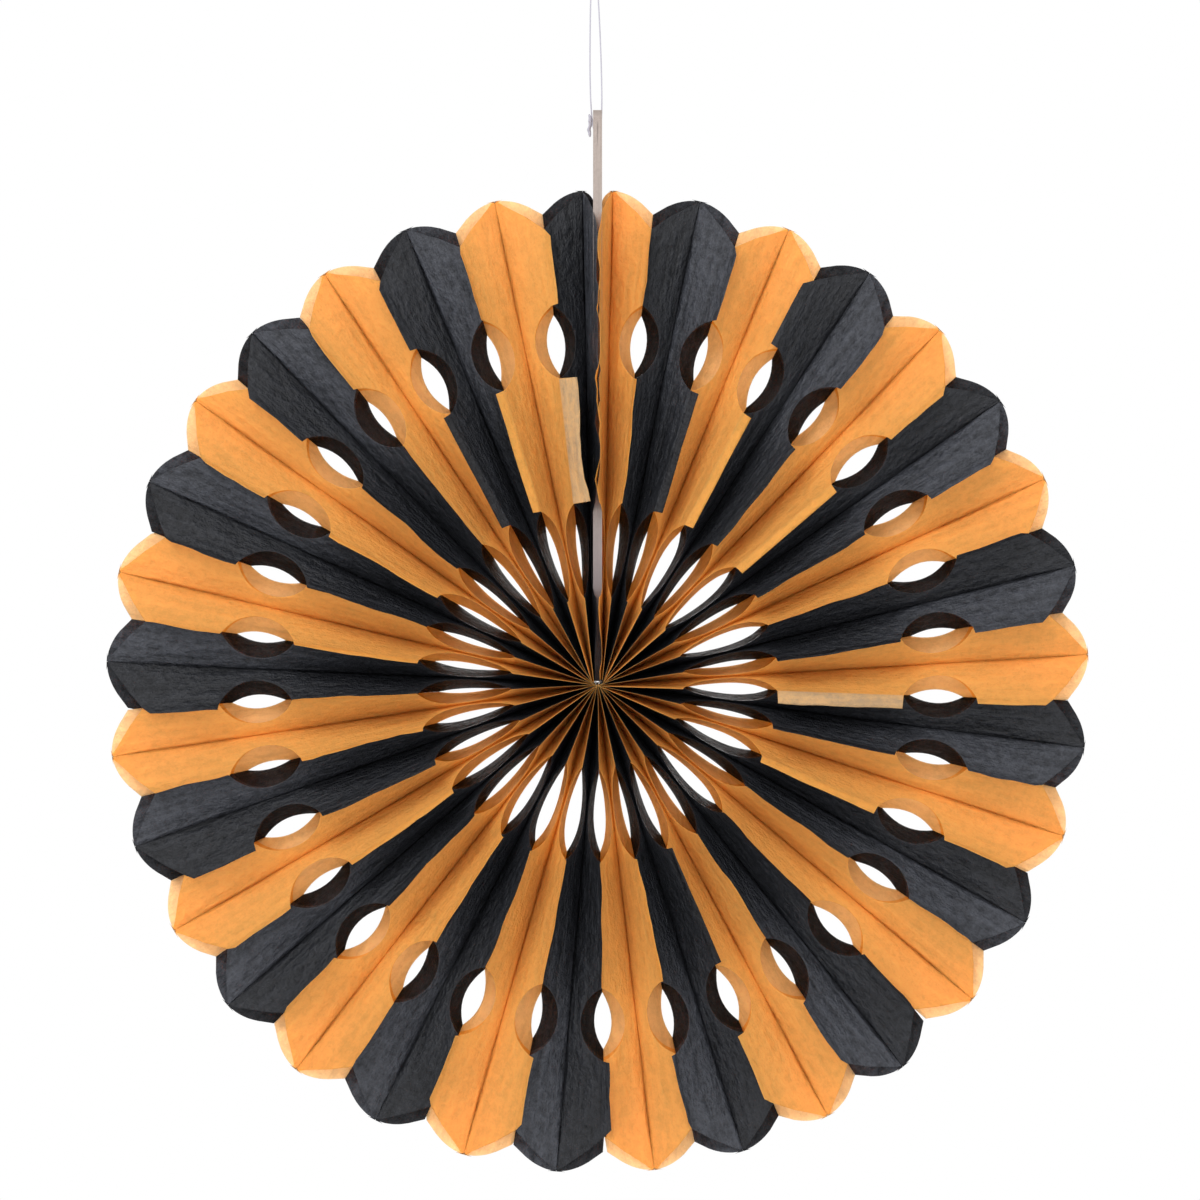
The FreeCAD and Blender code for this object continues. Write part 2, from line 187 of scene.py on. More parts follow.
class Graph:
    """Adds nodes to a node tree, so that each rule of it reads as one line."""

    def __init__(self, tree):
        self.tree = tree

    def node(self, kind, **settings):
        made = self.tree.nodes.new(kind)
        for name, value in settings.items():
            setattr(made, name, value)
        return made

    def feed(self, socket, value):
        if isinstance(value, bpy.types.NodeSocket):
            self.tree.links.new(value, socket)
        else:
            socket.default_value = value

    def math(self, operation, *values):
        made = self.node("ShaderNodeMath", operation=operation)
        for socket, value in zip(made.inputs, values):
            self.feed(socket, value)
        return made.outputs[0]

    def add(self, *values):
        total = values[0]
        for value in values[1:]:
            total = self.math("ADD", total, value)
        return total

    def times(self, *values):
        product = values[0]
        for value in values[1:]:
            product = self.math("MULTIPLY", product, value)
        return product

    def between(self, share, low, high):
        return self.add(low, self.times(share, self.math("SUBTRACT", high, low)))

    def vector(self, x=0.0, y=0.0, z=0.0):
        made = self.node("ShaderNodeCombineXYZ")
        for socket, value in zip(made.inputs, (x, y, z)):
            self.feed(socket, value)
        return made.outputs[0]

    def noise(self, vector, scale, detail=2.0, roughness=0.5):
        """Noise from -1 to 1 round 0."""
        made = self.node("ShaderNodeTexNoise")
        self.feed(made.inputs["Vector"], vector)
        self.feed(made.inputs["Scale"], scale)
        made.inputs["Detail"].default_value = detail
        made.inputs["Roughness"].default_value = roughness
        return self.math("MULTIPLY_ADD", made.outputs[0], 2.0, -1.0)

    def ramp(self, value, low, high):
        """A smooth step from 0 to 1."""
        made = self.node("ShaderNodeMapRange", interpolation_type="SMOOTHSTEP")
        self.feed(made.inputs[0], value)
        made.inputs[1].default_value = low
        made.inputs[2].default_value = high
        return made.outputs[0]

    def mix_colour(self, share, low, high):
        made = self.node("ShaderNodeMix", data_type="RGBA", blend_type="MIX")
        self.feed(made.inputs[0], share)
        for socket, value in zip((made.inputs[6], made.inputs[7]), (low, high)):
            self.feed(socket, value if isinstance(value, bpy.types.NodeSocket) else (*value, 1.0))
        return made.outputs[2]

    def parts(self, vector):
        """The x, y and z of a vector."""
        made = self.node("ShaderNodeSeparateXYZ")
        self.feed(made.inputs[0], vector)
        return made.outputs

    def stretched(self, place, x, y, z=1.0):
        """Texture coordinates stretched along their axes."""
        made = self.node("ShaderNodeMapping")
        self.feed(made.inputs["Vector"], place)
        made.inputs["Scale"].default_value = (x, y, z)
        return made.outputs[0]

    def bump(self, height, distance, strength=1.0):
        """The normal of a surface with heights of up to that distance on it."""
        made = self.node("ShaderNodeBump")
        made.inputs["Strength"].default_value = strength
        made.inputs["Distance"].default_value = distance
        self.feed(made.inputs["Height"], height)
        return made.outputs[0]


def put_in(name, data):
    """A new object in the scene."""
    made = bpy.data.objects.new(name, data)
    bpy.context.scene.collection.objects.link(made)
    return made


def last_where(holds, low, high, steps):
    """The last place from low to high where a condition holds, found by halving."""
    for _ in range(steps):
        middle = (low + high) / 2
        low, high = (middle, high) if holds(middle) else (low, middle)
    return low


# ---- Where the fan's lines lie ----


def fan_centre():
    """The middle of the fan: in line with the face where the two strips meet, just below their lower ends."""
    low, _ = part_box("board_right")
    return Vector((low.x, 0, low.z - BOARD_BOTTOM))


def pitch_angles(sizes):
    """(angle, sideways shift) of each valley and of each ridge, clockwise from the top, and the angle of a petal."""
    pitch = (360 - 2 * FIRST_RIDGE) / (PETALS - 2)
    share = sizes.board_thickness / PETALS / math.cos(math.radians(pitch / 2))
    valleys = [END_LEAN] + [FIRST_RIDGE + (i - 0.5) * pitch for i in range(1, PETALS - 1)] + [360 - END_LEAN]
    valleys = [angle + sway for angle, sway in zip(valleys, VALLEY_SWAY)]
    shifts = [share * (PETALS - 1 - 2 * i) for i in range(PETALS)]
    gap = sizes.board_thickness - math.tan(math.radians(END_LEAN)) * sizes.end_hub_radius
    shifts[0], shifts[-1] = gap, -gap
    ridges = []
    for i in range(PETALS - 1):
        even = FIRST_RIDGE + i * pitch
        ridges.append((even + (VALLEY_SWAY[i] + VALLEY_SWAY[i + 1]) / 2, share * (PETALS - 2 - 2 * i)))
    return list(zip(valleys, shifts)), ridges, pitch


def ridge_leans(sizes, number):
    """Degrees by which a ridge's free edge leans sideways: (between the notches, outside the outer one)."""
    width = sizes.front_width - sizes.seam_depth
    leans = []
    widths = (width + GLUE_STAINED.get(number, 0.0), width)
    for offset, radius, free in zip(RIDGE_OFFSETS[number - 1], OFFSET_PLACES, widths):
        reach = math.radians(offset) * radius / free
        leans.append(math.degrees(math.asin(max(-MOST_LEAN, min(MOST_LEAN, reach)))))
    return leans


# ---- The flat tissue sheet ----


def tip_edge(sizes, side):
    """A petal's tip: its edge as a function of the radius, the angle and place where it starts to round, its end."""
    if side > 0:
        width, shift = sizes.front_width, (sizes.back_width - sizes.front_width) / 2
        shoulder, rounding = sizes.shoulder_radius, sizes.tip_round
    else:
        width, shift = sizes.back_width, 0.0
        shoulder, rounding = sizes.back_shoulder_radius, sizes.back_tip_round
    centre = sizes.fan_radius - rounding
    half = width + shift
    reach = math.hypot(half, shoulder - centre)
    flank = math.atan2(shoulder - centre, half) + math.acos(rounding / reach)
    tangent = (centre + rounding * math.sin(flank), rounding * math.cos(flank) - shift)

    def edge(radius):
        if radius <= tangent[0]:
            share = (radius - shoulder) / (tangent[0] - shoulder)
            return width + (tangent[1] - width) * max(share, 0)
        return math.sqrt(max(rounding**2 - (radius - centre) ** 2, 0)) - shift

    end = centre + math.sqrt(rounding**2 - shift**2)
    return edge, flank, tangent, end


def bent(share):
    """How far over to the ridge a panel has come at a share of its width."""
    return share * (0.7 + 0.3 * share * (3 - 2 * share))


def notches(sizes, side, ridge):
    """(distance from the fan centre, radius, how far outside the cut edge its centre lies) of both notches."""
    found = []
    for which, centre, notch in (
        (1, sizes.inner_notch_centre, sizes.inner_notch_radius),
        (0, sizes.outer_notch_centre, sizes.outer_notch_radius),
    ):
        shift = 0.0
        if side > 0 and not 1 <= ridge < PETALS:
            # The outer notch only nibbles at the edge that closes over the boards
            shift = 0.0 if which else BOARD_NOTCH_SHIFT
        if side < 0 and 1 <= ridge < PETALS:
            opening = centre * math.tan(math.radians(180 / PETALS))
            covered = 1 - HOLE_WIDTHS[ridge - 1][which] / 2000 / opening
            share = last_where(lambda place: bent(place) < covered, 0.0, 1.0, 30)
            shift = share * sizes.seam_depth - (sizes.back_width - notch)
        found.append((centre, notch, shift))
    return found


def seam_of(sizes, ridge):
    """The distance from the middle glue line to the one at a ridge, or to the edge of the board."""
    return sizes.seam_depth if 1 <= ridge < PETALS else sizes.board_width / 2


def cut_edge(sizes, side, ridge):
    """The distance from the middle glue line to the cut edge, as a function of the distance from the fan centre."""
    width = sizes.front_width if side > 0 else sizes.back_width
    at_tip, _, _, _ = tip_edge(sizes, side)
    cuts = notches(sizes, side, ridge)
    wide = GLUE_STAINED.get(ridge, 0.0) if side > 0 else 0.0

    def edge(radius):
        for centre, notch, shift in cuts:
            if abs(radius - centre) < notch:
                return min(width, width + shift - math.sqrt(notch**2 - (radius - centre) ** 2))
        if cuts[0][0] < radius < cuts[1][0]:
            return width + wide
        return at_tip(radius) if radius > sizes.shoulder_radius else width

    return edge


def crossings(sizes, side, ridge):
    """The distances from the fan centre at which the cut edge crosses the seam."""
    edge, seam, found = cut_edge(sizes, side, ridge), seam_of(sizes, ridge), []
    width = sizes.front_width if side > 0 else sizes.back_width
    for centre, notch, shift in notches(sizes, side, ridge):
        squared = notch**2 - (width + shift - seam) ** 2
        if squared > 0:
            found += [centre - math.sqrt(squared), centre + math.sqrt(squared)]
    end = tip_edge(sizes, side)[3]
    return found + [last_where(lambda radius: edge(radius) > seam, sizes.shoulder_radius, end, 50)]


def stations(sizes, hub, ridge):
    """The distances from the fan centre of a sheet's rows of points, the same for both sheets of a ridge."""
    fixed = [sizes.hub_radius, sizes.shoulder_radius, sizes.back_shoulder_radius]
    fixed += crossings(sizes, 1, ridge) + crossings(sizes, -1, ridge)
    rows = []
    for (centre, notch, _), steps in zip(notches(sizes, 1, ridge), NOTCH_STEPS):
        fixed += [centre - notch, centre + notch]
        rows += [centre - notch * math.cos(math.pi * i / steps) for i in range(1, steps)]
    for side in (1, -1):
        _, flank, _, end = tip_edge(sizes, side)
        fixed.append(end)
        rounding = sizes.tip_round if side > 0 else sizes.back_tip_round
        for i in range(TIP_STEPS):
            along = rounding * (1 - math.sin(flank + (math.pi / 2 - flank) * i / TIP_STEPS))
            rows.append(sizes.fan_radius - along)
    edges = sorted(fixed)
    for low, high in zip(edges, edges[1:]):
        steps = max(1, round((high - low) / ROW_SPACING))
        rows += [low + (high - low) * i / steps for i in range(1, steps)]
    kept = []
    for row in edges:
        if not kept or row - kept[-1] > 1e-5:
            kept.append(row)
    for row in sorted(rows):
        if row < max(fixed) and min(abs(row - other) for other in kept) > LEAST_SPACING:
            kept.append(row)
    return [hub] + [row for row in sorted(kept) if row > hub + 1e-5]


def flat_petal(name, sizes, hub, number):
    """Both die-cut sheets of a petal as one flat mesh, with each point's place on its sheet as attributes."""
    points, index, faces, marks = [], {}, [], []

    def point(radius, spread, right, stain):
        key = (round(radius, 7), round(spread, 7), right)
        if key not in index:
            index[key] = len(points)
            points.append((radius, spread, 0.0))
            marks.append((*key, stain))
        return index[key]

    for right in (0, 1):
        ridge = number - 1 + right
        seam, rows = seam_of(sizes, ridge), stations(sizes, hub, ridge)
        for side, free_steps in ((-1, BACK_FREE_STEPS), (1, FRONT_FREE_STEPS)):
            edge, wing = cut_edge(sizes, side, ridge), []
            for radius in rows:
                width = edge(radius)
                inside = min(width, seam)
                beyond = max(width - seam, 0)
                stained = ridge in GLUE_STAINED and side > 0 and width > sizes.front_width
                spreads = [inside * share for share in PANEL_SHARES]
                spreads += [inside + beyond * i / free_steps for i in range(1, free_steps + 1)]
                wing.append([
                    (radius, side * spread, right, float(stained and spread >= seam)) for spread in spreads
                ])
            for low, high in zip(wing, wing[1:]):
                for j in range(len(low) - 1):
                    ring = [point(*low[j]), point(*high[j]), point(*high[j + 1]), point(*low[j + 1])]
                    if (side > 0) != bool(right):
                        # Turned over, but with the same diagonal, so that the two sheets of a ridge lie flat together
                        ring = [ring[2], ring[1], ring[0], ring[3]]
                    ring = [at for k, at in enumerate(ring) if at != ring[k - 1]]
                    if len(set(ring)) > 2:
                        faces.append(ring)
    mesh = bpy.data.meshes.new(name)
    mesh.from_pydata(points, [], faces)
    for column, attribute in enumerate(("sheet_radius", "sheet_spread", "right_half", "glue_stain")):
        values = [float(mark[column]) for mark in marks]
        mesh.attributes.new(attribute, "FLOAT", "POINT").data.foreach_set("value", values)
    uv = mesh.uv_layers.new(name="Sheet")
    for loop, data in zip(mesh.loops, uv.data):
        radius, spread, right, _ = marks[loop.vertex_index]
        data.uv = (radius * UV_SCALE, spread * UV_SCALE + 2 * number + right)
    mesh.polygons.foreach_set("use_smooth", [True] * len(mesh.polygons))
    return mesh


# ---- The rule that folds it ----


def petal_tree():
    """Geometry nodes that fold the flat sheets of a petal between its valley and its two glued ridges."""
    tree = bpy.data.node_groups.new("Fold petal", "GeometryNodeTree")
    tree.is_modifier = True
    sockets = [
        ("Geometry", "NodeSocketGeometry"),
        ("Fan centre", "NodeSocketVector"),
        ("Valley angle", "NodeSocketFloat"),
        ("Valley shift", "NodeSocketFloat"),
    ]
    sockets += [(f"{half} {what}", "NodeSocketFloat") for half in ("Left", "Right") for what in HALF_INPUTS]
    sockets += [
        ("Outer notch centre", "NodeSocketFloat"),
        ("Inner notch centre", "NodeSocketFloat"),
        ("Sheet thickness", "NodeSocketFloat"),
        ("Wrinkle depth", "NodeSocketFloat"),
        ("Seed", "NodeSocketInt"),
        ("Tissue", "NodeSocketMaterial"),
    ]
    for name, kind in sockets:
        tree.interface.new_socket(name, in_out="INPUT", socket_type=kind)
    tree.interface.new_socket("Geometry", in_out="OUTPUT", socket_type="NodeSocketGeometry")
    graph = Graph(tree)
    given = graph.node("NodeGroupInput").outputs

    def attribute(name):
        made = graph.node("GeometryNodeInputNamedAttribute", data_type="FLOAT")
        made.inputs["Name"].default_value = name
        return made.outputs["Attribute"]

    radius, spread, right = (attribute(name) for name in ("sheet_radius", "sheet_spread", "right_half"))

    def own(what):
        return graph.between(right, given[f"Left {what}"], given[f"Right {what}"])

    across = graph.math("MULTIPLY_ADD", right, 2.0, -1.0)
    front = graph.math("GREATER_THAN", spread, 0.0)
    forward = graph.math("MULTIPLY_ADD", front, -2.0, 1.0)
    width, seam = graph.math("ABSOLUTE", spread), own("seam")

    def line(angle, shift, along):
        """The point at a distance along a line that starts beside the fan centre."""
        sine, cosine = graph.math("SINE", angle), graph.math("COSINE", angle)
        x = graph.add(graph.times(shift, cosine), graph.times(along, sine))
        z = graph.math("SUBTRACT", graph.times(along, cosine), graph.times(shift, sine))
        return x, z, sine, cosine

    # The glued lines wander a little, the same way for both of the sheets that they hold
    ridge_number = own("ridge number")

    def wander(waves, share, unlike):
        """A sideways shift that differs between lines."""
        bends = graph.noise(graph.vector(graph.times(radius, waves), unlike), 1.0)
        return graph.times(bends, radius, share)

    ridge_shift = graph.add(own("ridge shift"), wander(*RIDGE_WANDER, graph.times(ridge_number, 7.3)))
    valley_wander = wander(*VALLEY_WANDER, graph.times(given["Valley angle"], 37.0))
    valley_middle = graph.add(given["Valley shift"], valley_wander)
    valley_shift = graph.add(valley_middle, graph.times(across, given["Sheet thickness"]))
    valley_x, valley_z, _, _ = line(given["Valley angle"], valley_shift, radius)
    ridge_radius = graph.times(radius, own("ridge stretch"))
    ridge_x, ridge_z, ridge_sine, ridge_cosine = line(own("ridge angle"), ridge_shift, ridge_radius)
    step_x = graph.math("SUBTRACT", ridge_x, valley_x)
    step_z = graph.math("SUBTRACT", ridge_z, valley_z)
    # A ridge's depth comes from the even places of its lines, so that both of its sheets reach it
    even_valley_x, even_valley_z, _, _ = line(own("depth angle"), own("depth shift"), radius)
    even_ridge_x, even_ridge_z, _, _ = line(own("ridge angle"), own("ridge shift"), ridge_radius)
    even_x = graph.math("SUBTRACT", even_ridge_x, even_valley_x)
    even_z = graph.math("SUBTRACT", even_ridge_z, even_valley_z)
    open_squared = graph.add(graph.times(even_x, even_x), graph.times(even_z, even_z))
    seam_squared = graph.times(seam, seam)
    opening = graph.math("SQRT", graph.math("DIVIDE", open_squared, seam_squared))
    # Past the radius where the panel is flat, the petal's wings are narrower than the gap
    flat = graph.math("MINIMUM", graph.math("DIVIDE", FLATTEST, opening), 1.0)
    closed = graph.times(open_squared, flat, flat)
    depth = graph.math("SQRT", graph.math("SUBTRACT", seam_squared, closed))
    share = graph.math("MINIMUM", graph.math("DIVIDE", width, seam), 1.0)
    rise = graph.times(share, graph.math("SUBTRACT", 3.0, graph.times(share, 2.0)))
    eased = graph.times(share, graph.math("MULTIPLY_ADD", rise, 0.3, 0.7))
    sideways = graph.times(eased, flat)

    # Beyond the seam the free edges of both sheets lean over together
    beyond = graph.math("MAXIMUM", graph.math("SUBTRACT", width, seam), 0.0)
    outer = graph.math("GREATER_THAN", radius, given["Outer notch centre"])
    inner = graph.math("LESS_THAN", radius, given["Inner notch centre"])
    front_lean = graph.between(outer, own("middle lean"), own("outer lean"))
    lean = graph.between(front, own("back lean"), front_lean)
    waves, swing = EDGE_RIPPLE
    ripple = graph.noise(
        graph.vector(graph.times(radius, waves), graph.times(ridge_number, 3.1), graph.times(forward, 5.0)), 1.0
    )
    lean = graph.add(lean, graph.times(ripple, swing))
    lean = graph.between(inner, lean, graph.times(lean, own("hub lean")))
    flop = graph.times(beyond, graph.math("SINE", lean))
    stand = graph.times(beyond, graph.math("COSINE", lean))
    x = graph.add(valley_x, graph.times(step_x, sideways), graph.times(flop, ridge_cosine))
    z = graph.add(valley_z, graph.times(step_z, sideways), graph.times(flop, ridge_sine, -1.0))
    y = graph.times(forward, graph.add(graph.times(depth, share), stand))
    placed = graph.node("GeometryNodeSetPosition")
    where = graph.node("ShaderNodeVectorMath", operation="ADD")
    graph.feed(where.inputs[0], graph.vector(x, y, z))
    graph.feed(where.inputs[1], given["Fan centre"])
    graph.feed(placed.inputs["Geometry"], given["Geometry"])
    graph.feed(placed.inputs["Position"], where.outputs[0])

    # Wrinkles run along the petal and die out at the glued lines
    seed = graph.times(given["Seed"], 3.7)
    streaks, crinkles = (
        graph.noise(graph.vector(graph.times(radius, along), graph.times(spread, aside), seed), 1.0, 3.0)
        for along, aside in (STREAKS, CRINKLES)
    )
    fade = graph.math("SINE", graph.times(share, math.pi))
    height = graph.times(graph.add(streaks, graph.times(crinkles, CRINKLE_SHARE)), fade, given["Wrinkle depth"])
    lift = graph.node("ShaderNodeVectorMath", operation="SCALE")
    graph.feed(lift.inputs[0], graph.node("GeometryNodeInputNormal").outputs[0])
    graph.feed(lift.inputs["Scale"], height)
    wrinkled = graph.node("GeometryNodeSetPosition")
    graph.feed(wrinkled.inputs["Geometry"], placed.outputs[0])
    graph.feed(wrinkled.inputs["Offset"], lift.outputs[0])
    real = graph.node("GeometryNodeRealizeInstances")
    graph.feed(real.inputs[0], wrinkled.outputs[0])
    dyed = graph.node("GeometryNodeSetMaterial")
    graph.feed(dyed.inputs["Geometry"], real.outputs[0])
    graph.feed(dyed.inputs["Material"], given["Tissue"])
    graph.feed(graph.node("NodeGroupOutput").inputs[0], dyed.outputs[0])
    return tree


def set_inputs(modifier, values):
    """Sets a geometry nodes modifier's inputs by the identifiers of their sockets."""
    identifiers = {
        item.name: item.identifier
        for item in modifier.node_group.interface.items_tree
        if item.item_type == "SOCKET" and item.in_out == "INPUT"
    }
    for name, value in values.items():
        modifier[identifiers[name]] = value


def plain_mesh(source, name):
    """The evaluated object as a plain mesh object at the origin, in place of its source."""
    graph = bpy.context.evaluated_depsgraph_get()
    mesh = bpy.data.meshes.new_from_object(
        source.evaluated_get(graph), preserve_all_data_layers=True, depsgraph=graph
    )
    mesh.name = name
    old = source.data
    bpy.data.objects.remove(source)
    bpy.data.meshes.remove(old)
    return put_in(name, mesh)


def half_values(sizes, number, half):
    """What the fold rule is told about one half of a petal, in the order of HALF_INPUTS."""
    valleys, ridges, pitch = pitch_angles(sizes)
    left = half == "Left"
    ridge = number - 1 if left else number
    if 1 <= ridge < PETALS:
        angle, shift = ridges[ridge - 1]
        middle, outer = ridge_leans(sizes, ridge)
        back = BACK_LEAN * math.sin(BACK_LEAN_STEP * ridge)
        # The petal's own valley gives a ridge its depth, but beside an end petal the neighbour's does
        depth_angle, depth_shift = valleys[{1: 1, PETALS - 1: PETALS - 2}.get(ridge, number - 1)]
        return (
            math.radians(angle), shift, 1 / math.cos(math.radians(pitch / 2)), sizes.seam_depth,
            math.radians(middle), math.radians(outer), math.radians(back), HUB_LEAN,
            math.radians(depth_angle), depth_shift, float(ridge),
        )
    # This half lies on the board and closes over its edge
    inwards = -1 if left else 1
    over = inwards * math.asin(0.95 * sizes.board_thickness / (sizes.front_width - sizes.board_width / 2))
    angle, shift = valleys[number - 1]
    return (
        0.0 if left else 2 * math.pi, -inwards * sizes.board_thickness, 1.0, sizes.board_width / 2,
        over, over, over * 0.6, BOARD_HUB_LEAN, math.radians(angle), shift, float(ridge),
    )


def fold_petal(number, sizes, tree, material):
    """Makes one petal, folds it into its place in the fan and puts it in for its plain solid."""
    tint = "orange" if number % 2 else "black"
    hub = sizes.end_hub_radius if number in (1, PETALS) else sizes.hub_radius
    name = f"tissue_petal_{number:02d}"
    source = put_in(name + "_flat", flat_petal(name + "_flat", sizes, hub, number))
    fold = source.modifiers.new("Fold", "NODES")
    fold.node_group = tree
    angle, shift = pitch_angles(sizes)[0][number - 1]
    values = {
        "Fan centre": fan_centre(),
        "Valley angle": math.radians(angle),
        "Valley shift": shift,
        "Outer notch centre": sizes.outer_notch_centre,
        "Inner notch centre": sizes.inner_notch_centre,
        "Sheet thickness": sizes.sheet_thickness,
        "Wrinkle depth": sizes.wrinkle_depth,
        "Seed": number,
        "Tissue": material,
    }
    for half in ("Left", "Right"):
        for what, value in zip(HALF_INPUTS, half_values(sizes, number, half)):
            values[f"{half} {what}"] = value
    set_inputs(fold, values)
    skin = source.modifiers.new("Thickness", "SOLIDIFY")
    skin.thickness = sizes.sheet_thickness
    skin.offset = -1.5
    piece = plain_mesh(source, name)
    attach(piece, "root")
    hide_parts(f"petal_{number:02d}_{tint}")
    return piece


# ---- Finishes ----


def shader_group(name, outputs):
    """An empty shader node group that gives these values: (its tree, its graph, the sockets to feed)."""
    tree = bpy.data.node_groups.new(name, "ShaderNodeTree")
    for socket in outputs:
        tree.interface.new_socket(socket, in_out="OUTPUT", socket_type="NodeSocketFloat")
    graph = Graph(tree)
    return tree, graph, graph.node("NodeGroupOutput").inputs


def sheet_layers_group(sizes):
    """Where a point lies on its die-cut sheet, and where no second layer lies behind it."""
    tree, graph, put = shader_group("Sheet layers", ("Radius", "Spread", "Single", "Right half"))
    along_sheet, across_sheet, _ = graph.parts(graph.node("ShaderNodeUVMap", uv_map="Sheet").outputs[0])
    radius = graph.times(along_sheet, 1 / UV_SCALE)
    spread = graph.times(graph.math("WRAP", across_sheet, 0.5, -0.5), 1 / UV_SCALE)
    width = graph.math("ABSOLUTE", spread)
    back = graph.math("LESS_THAN", spread, 0.0)
    cut = 0.0
    for centre, notch in (
        (sizes.inner_notch_centre, sizes.inner_notch_radius),
        (sizes.outer_notch_centre, sizes.outer_notch_radius),
    ):
        along = graph.math("SUBTRACT", radius, centre)
        aside = graph.math("SUBTRACT", width, sizes.front_width)
        away = graph.math("SQRT", graph.add(graph.times(along, along), graph.times(aside, aside)))
        cut = graph.math("MAXIMUM", cut, graph.math("LESS_THAN", away, notch))
    # The flank of the front half's tip, and its end
    _, _, tangent, end = tip_edge(sizes, 1)
    slope = (tangent[0] - sizes.shoulder_radius) / (sizes.front_width - tangent[1])
    slanted = graph.math("MULTIPLY_ADD", width, slope, radius)
    past_flank = graph.math("GREATER_THAN", slanted, tangent[0] + slope * tangent[1])
    past_tip = graph.math("MAXIMUM", past_flank, graph.math("GREATER_THAN", radius, end))
    cut = graph.math("MAXIMUM", cut, past_tip)
    graph.feed(put["Right half"], graph.math("MODULO", graph.math("ROUND", across_sheet), 2.0))
    graph.feed(put["Radius"], radius)
    graph.feed(put["Spread"], spread)
    graph.feed(put["Single"], graph.times(cut, back))
    return tree


def tissue_grain_group():
    """Streaks, crinkles and fibres of thin tissue paper, in the plane of its sheet."""
    tree, graph, put = shader_group("Tissue grain", ("Streaks", "Mottle", "Height"))
    uv = graph.node("ShaderNodeUVMap", uv_map="Sheet").outputs[0]
    streaks, folds, crumples, fibres = (
        graph.noise(graph.stretched(uv, along, across), 1.0, detail, 0.6)
        for along, across, detail in ((2.4, 34.0, 5.0), (9.0, 17.0, 4.0), (30.0, 36.0, 4.0), (95.0, 130.0, 3.0))
    )
    graph.feed(put["Streaks"], graph.add(graph.times(streaks, 0.6), graph.times(folds, 0.4)))
    graph.feed(put["Mottle"], graph.add(graph.times(crumples, 0.7), graph.times(fibres, 0.5)))
    height = graph.add(graph.times(streaks, 0.3), graph.times(folds, 0.8), graph.times(crumples, 0.45))
    graph.feed(put["Height"], graph.add(height, graph.times(fibres, 0.08)))
    return tree


def material(name):
    """A new material with a Principled shader: (material, its graph, the shader's inputs)."""
    made = bpy.data.materials.new(name)
    made.use_nodes = True
    graph = Graph(made.node_tree)
    return made, graph, made.node_tree.nodes["Principled BSDF"].inputs


def shared(name, build):
    """The node group of that name, built at its first use."""
    return bpy.data.node_groups.get(name) or build()


def tissue_material(name, sizes, looks, thick, thin, rim, stained, glued):
    """Thin crinkled tissue that may let light through, with painted light and shade on single layers, edges and
    crease.
    """
    made, graph, shader = material(name)
    surface = made.node_tree.nodes["Principled BSDF"].outputs[0]
    place_group = shared("Sheet layers", lambda: sheet_layers_group(sizes))
    layers = graph.node("ShaderNodeGroup", node_tree=place_group).outputs
    grain = graph.node("ShaderNodeGroup", node_tree=shared("Tissue grain", tissue_grain_group)).outputs

    # Painted light and shade on a single layer, from the notches out to the rim and weaker near the hub
    outward = graph.ramp(layers["Radius"], 0.05, 0.13)
    single = graph.mix_colour(graph.ramp(layers["Radius"], 0.168, 0.184), thin, rim)
    base = graph.mix_colour(graph.times(layers["Single"], graph.between(outward, 0.45, 1.0)), thick, single)
    stain = graph.node("ShaderNodeAttribute", attribute_name="glue_stain").outputs["Fac"]
    # Painted shade on the glued front free edges inside the outer notches, where no glue stain is
    free = graph.times(
        graph.ramp(layers["Spread"], sizes.seam_depth, sizes.seam_depth + 0.0006),
        graph.math("LESS_THAN", layers["Radius"], sizes.outer_notch_centre),
    )
    base = graph.mix_colour(graph.times(free, graph.math("SUBTRACT", 1.0, stain)), base, glued)
    # Painted shade along the crease: a deeper colour, as strong as the tint's crease setting
    from_middle = graph.math("ABSOLUTE", layers["Spread"])
    crease_shade = graph.ramp(graph.math("MULTIPLY_ADD", grain["Streaks"], 0.0015, from_middle), 0.0045, 0.0)
    base = graph.mix_colour(graph.times(crease_shade, looks["crease"]), base, glued)

    # Streaks and mottle in it, and painted sheen on the right halves, strongest out towards the rim
    light = graph.ramp(graph.add(grain["Streaks"], grain["Mottle"]), -0.8, 0.8)
    tone = graph.between(light, 1 - looks["contrast"], 1 + looks["contrast"])
    open_part = graph.ramp(layers["Radius"], 0.09, 0.17)
    painted_sheen = graph.math("MULTIPLY_ADD", graph.times(layers["Right half"], open_part), looks["sheen"], 1.0)
    tinted = graph.node("ShaderNodeVectorMath", operation="SCALE")
    graph.feed(tinted.inputs[0], base)
    graph.feed(tinted.inputs["Scale"], graph.times(tone, painted_sheen))

    # The glue-stained free edges take the single layer's painted light and shade, and patches of glue
    patchy = graph.ramp(graph.add(graph.times(grain["Mottle"], 0.5), grain["Streaks"]), -0.25, 0.45)
    dyed = graph.mix_colour(graph.times(stain, 0.9), tinted.outputs[0], thin)
    dyed = graph.mix_colour(graph.times(stain, patchy, 0.6), dyed, stained)
    graph.feed(shader["Base Color"], dyed)
    rough = graph.between(light, looks["roughness"] + 0.12, looks["roughness"] - 0.12)
    graph.feed(shader["Roughness"], graph.math("MULTIPLY_ADD", layers["Single"], 0.3, rough))
    normal = graph.bump(grain["Height"], looks["crumple"])
    graph.feed(shader["Normal"], normal)
    shader["Specular IOR Level"].default_value = looks["shine"]
    if looks["through"]:
        glow = graph.node("ShaderNodeBsdfTranslucent")
        graph.feed(glow.inputs["Color"], dyed)
        graph.feed(glow.inputs["Normal"], normal)
        both = graph.node("ShaderNodeMixShader")
        both.inputs[0].default_value = looks["through"]
        graph.feed(both.inputs[1], surface)
        graph.feed(both.inputs[2], glow.outputs[0])
        graph.feed(made.node_tree.nodes["Material Output"].inputs["Surface"], both.outputs[0])
    return made


